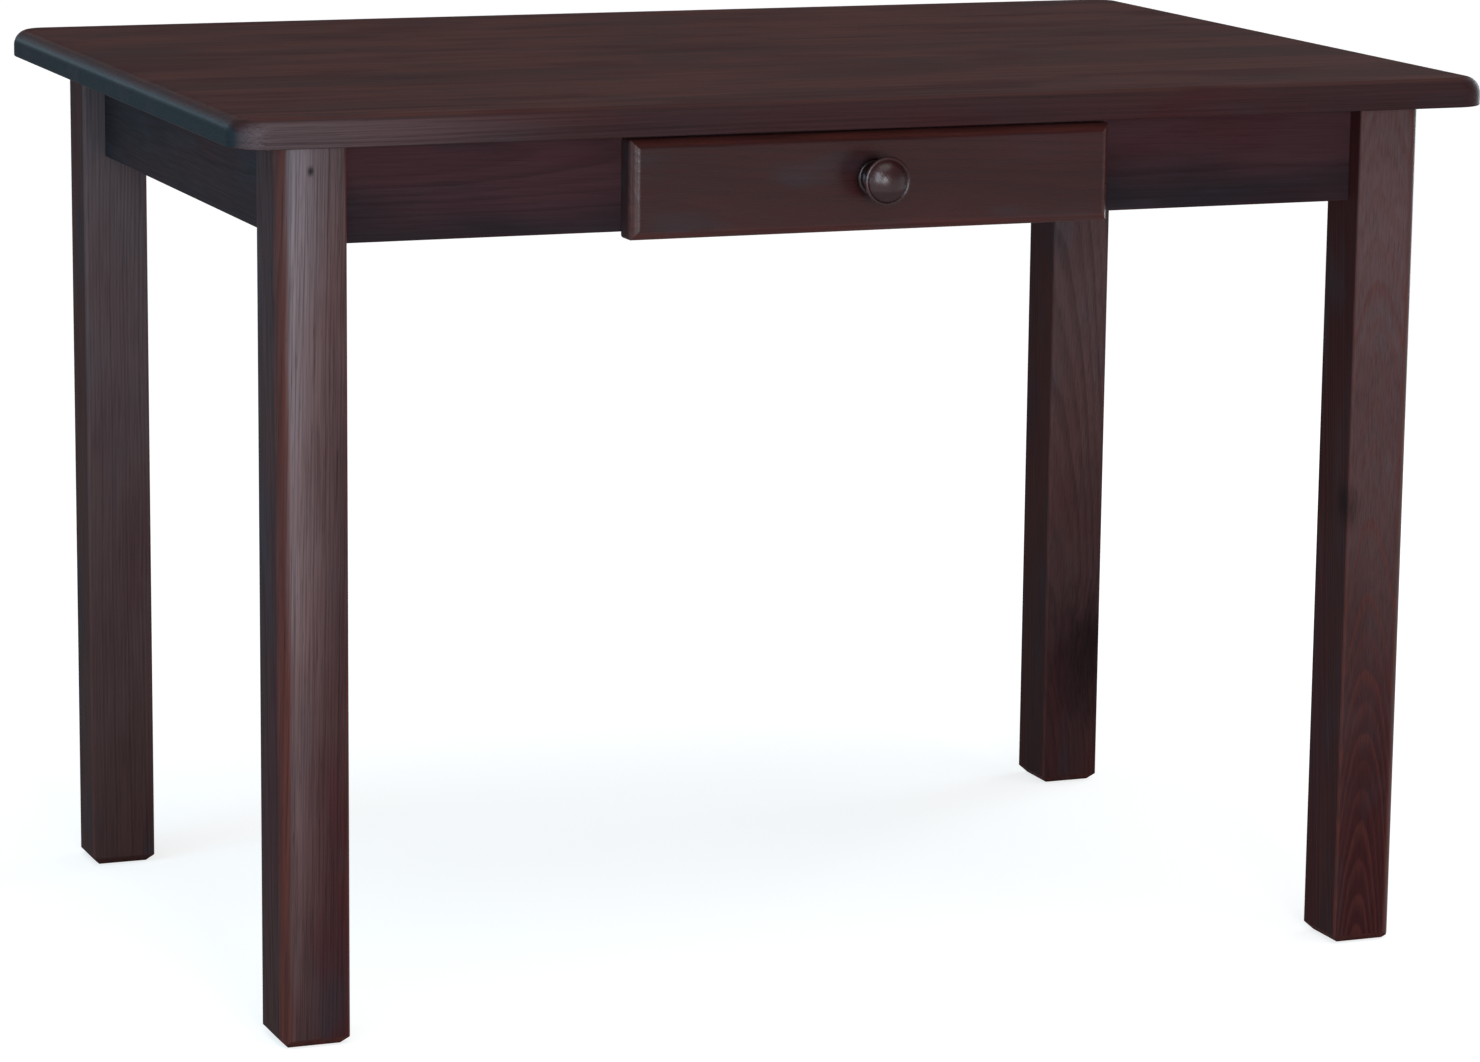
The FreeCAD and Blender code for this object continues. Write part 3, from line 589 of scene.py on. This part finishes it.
stained_board("drawer_front", grain="X", log_offset=(0.0, 0.07, -0.03), tilt=(0.0, 0.02, 0.02),
              ring_width=0.0040, ground=(DEEP, DEEP_RED), slate=0.7, rub=0.60, lines=0.9,
              gloss={"rough": 0.26, "edge_rough": 0.30, "specular": 0.19})
stained_board("drawer_knob", grain="Y", log_offset=(0.012, 0.0, 0.02), tilt=(0.0, 0.0, 0.0),
              ring_width=0.0026, ground=(DEEP_DARK, DEEP_RED), slate=0.15, rub=0.0, lines=0.5,
              gloss={"rough": 0.34, "edge_rough": 0.30, "specular": 0.32}, dull_ends=False)

# %% [markdown]
# ## The glued top: staves
# The top is glued up from narrow staves that run the length of the table. They could be modelled
# as separate boards, but the real top is one smooth panel, so only the figure is divided. The
# stave's number comes from its place across the table, and random values for that number move
# its log and change its tone.

# %% Divide the top into staves
STAVE_WIDTH = 0.083
STAVE_RING_WIDTH = 0.0040
LOG_ASIDE = 0.06
LOG_DEEPEST = 0.10
LOG_SHALLOWEST = 0.02
LOG_LENGTH = 7.0
STAVE_TONE = 0.10

top_low, top_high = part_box("top_panel")
top_material, tree, shader = new_material("stained_top")
top_place = split(tree, object_place(tree))
stave = calculate(tree, "FLOOR", calculate(tree, "DIVIDE", top_place["Y"], STAVE_WIDTH))
draws = split(tree, node(tree, "TexWhiteNoise", {"W": stave}, noise_dimensions="1D").outputs["Color"])
stave_middle = calculate(tree, "MULTIPLY", calculate(tree, "ADD", stave, 0.5), STAVE_WIDTH)
log_y = calculate(tree, "ADD", stave_middle, remap(tree, draws["X"], 0.0, 1.0, -LOG_ASIDE, LOG_ASIDE))
log_z = remap(tree, draws["Y"], 0.0, 1.0, top_low.z - LOG_DEEPEST, top_low.z - LOG_SHALLOWEST)
stave_place = node(tree, "CombineXYZ", {
    "X": calculate(tree, "SUBTRACT", top_place["Y"], log_y),
    "Y": calculate(tree, "SUBTRACT", top_place["Z"], log_z),
    "Z": calculate(tree, "MULTIPLY_ADD", draws["Z"], LOG_LENGTH, top_place["X"]),
}).outputs["Vector"]
stave_tone = remap(tree, draws["Z"], 0.0, 1.0, -STAVE_TONE, STAVE_TONE)
print("staves across the top:", round((top_high.y - top_low.y) / STAVE_WIDTH))

# %% [markdown]
# ## The glued top: flat, edges and sawn ends
# The flat of the top is a warm brown, and its rounded edge is darker. Its sawn ends at the left
# and the right look cold: they are darker because end grain drinks more stain, and teal, which
# is a painted reflection of a blue window. Near the front left corner a little painted sheen, a
# painted highlight, lies on the front edge. All of these could be separate materials on separate
# faces, but then they would meet in hard lines. Masks from the normal let them blend.

# %% Stain the top
STAIN_WARM = rgb(0.086, 0.0320, 0.0272)
# The sawn ends' colour is darker end grain, with a painted teal reflection of a blue window.
END_STAIN_AND_REFLECTION = rgb(0.011, 0.0175, 0.0225)
SLOPE_TO_FLAT = (0.75, 1.0)
SLOPE_TO_FRONT = (-0.35, -0.85)
# Painted highlight: a little sheen on the front edge near the front left corner.
CORNER_PAINTED_SHEEN = 0.22
CORNER_SHEEN_START = 0.34
CORNER_SHEEN_FULL = 0.01
TOP_BLUSH = 0.6

facing = split(tree, surface_normal(tree))
flat = remap(tree, facing["Z"], *SLOPE_TO_FLAT)
sawn = end_mask(tree, "X")
edge_grounds = [mix_colours(tree, sawn, edge_stain, END_STAIN_AND_REFLECTION) for edge_stain in (STAIN_EDGE, STAIN)]
flat_grounds = (STAIN_BROWN, STAIN_WARM)
top_grounds = [mix_colours(tree, flat, *stains) for stains in zip(edge_grounds, flat_grounds)]
top_blush = calculate(tree, "MULTIPLY", calculate(tree, "SUBTRACT", 1.0, sawn), TOP_BLUSH)
near_corner = remap(tree, top_place["X"], top_low.x + CORNER_SHEEN_START, top_low.x + CORNER_SHEEN_FULL,
                    0.0, CORNER_PAINTED_SHEEN)
corner_haze = calculate(tree, "MULTIPLY", near_corner, remap(tree, facing["Y"], *SLOPE_TO_FRONT))
finish_stained(tree, shader, stave_place, STAVE_RING_WIDTH, ground=top_grounds, tone=stave_tone, slate=0.4,
               blush=top_blush, haze=(corner_haze, PAINTED_SHEEN_GREY), rub=0.0,
               gloss={"rough": 0.80, "edge_rough": 0.46, "specular": 0.065})
dress("top_panel", top_material)
print("stained the top, with", len(tree.nodes), "nodes")

# %% [markdown]
# ## Bare wood inside
# Inside, the boards are planed pine with no stain, the drawer's bottom is plywood and the dowels
# are beech. Each could have its own tree of nodes, but pine, plywood and beech differ mainly in
# colour and in how wide and plain their rings are. So one function serves them all, with the
# same figure, pale colours and no lacquer.

# %% Bare wood
BARE_WOODS = {
    "pine": {"pale": rgb(0.66, 0.45, 0.25), "warm": rgb(0.72, 0.47, 0.24), "dark": rgb(0.46, 0.24, 0.095),
             "ring_width": 0.0038, "contrast": 0.8},
    "plywood": {"pale": rgb(0.64, 0.48, 0.31), "warm": rgb(0.70, 0.52, 0.33), "dark": rgb(0.50, 0.34, 0.20),
                "ring_width": 0.0130, "contrast": 0.5},
    "beech": {"pale": rgb(0.60, 0.40, 0.26), "warm": rgb(0.66, 0.42, 0.27), "dark": rgb(0.40, 0.22, 0.13),
              "ring_width": 0.0020, "contrast": 0.3},
}
BARE_TILT = (0.02, 0.015, 0.01)
BARE_CLOUD_RANGE = (0.35, 0.65)
BARE_FLECKS = 0.3
BARE_ROUGHNESS = (0.55, 0.7)
BARE_SPECULAR = 0.3
BARE_BUMP = {"Strength": 0.2, "Distance": 0.0003}


def bare_board(piece, grain, kind, log_offset):
    """A planed and unfinished board."""
    look = BARE_WOODS[kind]
    material, tree, shader = new_material("bare_" + piece)
    wood = pine_figure(tree, log_place(tree, piece, log_offset, grain, BARE_TILT), look["ring_width"])
    colour = mix_colours(tree, remap(tree, wood["Cloud"], *BARE_CLOUD_RANGE), look["pale"], look["warm"])
    rings = calculate(tree, "MULTIPLY", wood["Late wood"], look["contrast"])
    colour = mix_colours(tree, rings, colour, look["dark"])
    flecks = calculate(tree, "MULTIPLY", wood["Fleck"], BARE_FLECKS)
    colour = mix_colours(tree, flecks, colour, look["dark"])
    join(tree, colour, shader.inputs["Base Color"])
    join(tree, remap(tree, wood["Fibre"], *NOISE_SPREAD, *BARE_ROUGHNESS), shader.inputs["Roughness"])
    shader.inputs["Specular IOR Level"].default_value = BARE_SPECULAR
    bump = node(tree, "Bump", {"Height": wood["Late wood"], **BARE_BUMP})
    join(tree, bump.outputs["Normal"], shader.inputs["Normal"])
    dress(piece, material)
    print("bare", kind, "on", piece)


for corner_name in ("front_left", "front_right", "back_left", "back_right"):
    bare_board("corner_block_" + corner_name, "Z", "pine", log_offset=(0.03, 0.02, -0.05))
bare_board("top_buttons", "Y", "pine", log_offset=(0.10, 0.0, -0.06))
for side in ("left", "right"):
    bare_board("drawer_runner_" + side, "Y", "pine", log_offset=(0.03, 0.0, -0.05))
    bare_board("drawer_kicker_" + side, "Y", "pine", log_offset=(-0.04, 0.0, 0.06))
    bare_board("drawer_side_" + side, "Y", "pine", log_offset=(0.05, 0.0, -0.03))
bare_board("drawer_back", "X", "pine", log_offset=(0.0, 0.05, -0.03))
bare_board("drawer_bottom", "X", "plywood", log_offset=(0.0, 0.05, -0.09))
bare_board("runner_dowels", "Y", "beech", log_offset=(0.05, 0.0, 0.03))

# %% [markdown]
# ## Zinc plated steel
# The screws, bolts, washers and nuts are steel with a thin coat of zinc, which is grey and a
# little blotchy. A grey paint would look flat, so the shader is fully metallic and mirrors what
# is round it. One fine noise changes both its colour and its shine, because a duller patch of
# zinc is also paler.

# %% Zinc plated steel
ZINC_GREY = rgb(0.52, 0.53, 0.53)
ZINC_PALE = rgb(0.66, 0.66, 0.63)
ZINC_CELLS = (300.0, 300.0, 300.0)
ZINC_ROUGHNESS = (0.28, 0.42)

for piece in pieces:
    if "screw" in piece or "hanger" in piece:
        material, tree, shader = new_material("zinc_" + piece)
        shader.inputs["Metallic"].default_value = 1.0
        patch = stretched_noise(tree, object_place(tree), ZINC_CELLS)
        join(tree, mix_colours(tree, patch, ZINC_GREY, ZINC_PALE), shader.inputs["Base Color"])
        join(tree, remap(tree, patch, *NOISE_SPREAD, *ZINC_ROUGHNESS), shader.inputs["Roughness"])
        dress(piece, material)
        print("plated", piece)

# %% [markdown]
# ## Floor
# The photograph has a white background. More light would make the floor white, but it would also
# bleach the table. So the floor is a wide grey disc that glows only for the rays that see it as
# the background: from the camera, or by way of a reflection or glass. It still takes the table's
# shadow. It lies a hair below the feet, so that the two don't share a plane.

# %% Floor
FLOOR_RADIUS = 60.0
FLOOR_SIDES = 96
FLOOR_GAP = 0.0003
FLOOR_GREY = rgb(0.45, 0.45, 0.45)
FLOOR_ROUGHNESS = 0.9
FLOOR_GLOW = 0.74
WHITE = rgb(1.0, 1.0, 1.0)


def background_rays(tree):
    """1 for the rays that see the background: from the camera, or by way of a gloss or glass."""
    path = node(tree, "LightPath").outputs
    seen = calculate(tree, "MAXIMUM", path["Is Camera Ray"], path["Is Glossy Ray"])
    return calculate(tree, "MAXIMUM", seen, path["Is Transmission Ray"])


floor_mesh = bpy.data.meshes.new("floor")
builder = bmesh.new()
bmesh.ops.create_circle(builder, cap_ends=True, segments=FLOOR_SIDES, radius=FLOOR_RADIUS)
builder.to_mesh(floor_mesh)
builder.free()
floor = bpy.data.objects.new("floor", floor_mesh)
floor.location.z = -FLOOR_GAP
bpy.context.scene.collection.objects.link(floor)

floor_material, tree, shader = new_material("white_floor")
shader.inputs["Base Color"].default_value = FLOOR_GREY
shader.inputs["Roughness"].default_value = FLOOR_ROUGHNESS
shader.inputs["Specular IOR Level"].default_value = 0.0
shader.inputs["Emission Color"].default_value = WHITE
floor_glow = calculate(tree, "MULTIPLY", background_rays(tree), FLOOR_GLOW)
join(tree, floor_glow, shader.inputs["Emission Strength"])
floor_mesh.materials.append(floor_material)
print("floor radius in m:", FLOOR_RADIUS)

# %% [markdown]
# ## Sky and sun
# An even grey sky and a soft sun light the whole table, and they don't grow weaker with distance
# as a lamp does. Low down, the sky turns white for the same rays as the floor, so that floor and
# background meet without a line. The upper sky stays grey, because the top would mirror a white
# one.

# %% Sky and sun
SKY = rgb(0.258, 0.269, 0.280)
WHITE_BELOW = (0.16, 0.10)
SUN_POWER = 1.2
SUN_SPREAD = math.radians(50)
SUN_DIRECTION = (0.0, 0.35, -1.0)

world = bpy.data.worlds.new("sky")
world.use_nodes = True
tree = world.node_tree
direction = split(tree, node(tree, "TexCoord").outputs["Generated"])
low_sky = remap(tree, direction["Z"], *WHITE_BELOW)
white_part = calculate(tree, "MULTIPLY", background_rays(tree), low_sky)
join(tree, mix_colours(tree, white_part, SKY, WHITE), tree.nodes["Background"].inputs["Color"])
bpy.context.scene.world = world

sun_data = bpy.data.lights.new("soft_sun", "SUN")
sun_data.energy = SUN_POWER
sun_data.angle = SUN_SPREAD
sun = bpy.data.objects.new("soft_sun", sun_data)
sun.rotation_euler = Vector(SUN_DIRECTION).to_track_quat("-Z", "Y").to_euler()
bpy.context.scene.collection.objects.link(sun)
print("sun power:", SUN_POWER)

# %% [markdown]
# ## Windows
# The rest of the light comes from the sides, as in a room. Point lamps would give hard shadows
# and tiny glints, so each lamp has the size of a window. A blue one close to the left end cools
# the sides that face it. A dim one behind shines along the top's left edge. One on the right
# lights the right and back sides. A strong one in front lights the legs and the drawer. The
# last one only shows as a shine: it puts the soft highlight on the knob.

# %% Windows


def window(name, place, aim, width, height, power, colour, only_shine=False):
    """A soft lamp the size of a window."""
    data = bpy.data.lights.new(name, "AREA")
    data.shape = "RECTANGLE"
    data.size = width
    data.size_y = height
    data.energy = power
    data.color = colour
    lamp = bpy.data.objects.new(name, data)
    lamp.location = place
    lamp.rotation_euler = (Vector(aim) - Vector(place)).to_track_quat("-Z", "Y").to_euler()
    lamp.visible_camera = False
    lamp.visible_diffuse = not only_shine
    bpy.context.scene.collection.objects.link(lamp)
    print("lamp", name, "at", place)


window("left_window", place=(-1.9, -0.35, 0.80), aim=(-0.5, 0.0, 0.70), width=0.9, height=0.7,
       power=11.5, colour=(0.20, 0.74, 1.0))
window("back_window", place=(-2.0, 4.2, 1.30), aim=(-0.5, 0.0, 0.75), width=1.6, height=1.6,
       power=12, colour=(0.35, 0.75, 1.0))
window("right_window", place=(2.5, 1.1, 0.90), aim=(0.3, 0.0, 0.50), width=1.2, height=1.2,
       power=24, colour=(0.80, 0.93, 1.0))
window("front_window", place=(-0.6, -4.4, 0.95), aim=(0.0, 0.0, 0.50), width=1.0, height=1.1,
       power=95, colour=(0.90, 0.95, 1.0))
window("shine_window", place=(-1.30, -1.95, 1.25), aim=(0.0, -0.40, 0.66), width=0.9, height=1.6,
       power=42, colour=(0.75, 0.90, 1.0), only_shine=True)
